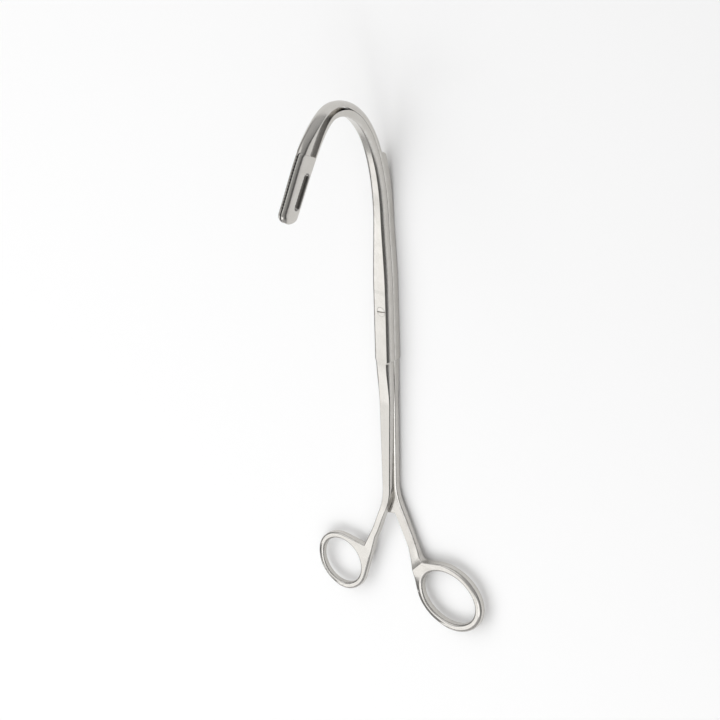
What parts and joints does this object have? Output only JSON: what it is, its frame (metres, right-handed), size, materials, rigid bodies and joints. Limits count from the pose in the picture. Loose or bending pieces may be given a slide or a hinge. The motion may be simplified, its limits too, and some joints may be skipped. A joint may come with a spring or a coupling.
{
  "type": "kidney stone forceps",
  "caption": "Stone-grasping forceps: stacked ring-handled branches on a slotted screw, with a fully curved neck that ends in slotted, serrated jaws.",
  "frame": {"origin": "where the pivot axis meets the flat back of the joint", "axes": "+Y from the finger rings to the hook, +Z along the pivot axis towards the screw's head, the way the hook rises, and +X towards the larger ring"},
  "size_m": [0.0803, 0.2309, 0.0655],
  "materials": {
    "front_branch_steel": "polished",
    "rear_branch_steel": "polished",
    "pivot_screw_steel": "turned"
  },
  "bodies": {
    "rear": {"rear_branch": "rear_branch_steel", "pivot_screw": "pivot_screw_steel"},
    "front": {"front_branch": "front_branch_steel"}
  },
  "joints": [
    {"name": "branch_pivot", "type": "hinge", "parent": "rear", "child": "front", "pos_m": [0, 0, 0], "axis": [0, 0, -1], "range_deg": [0, 28]}
  ]
}
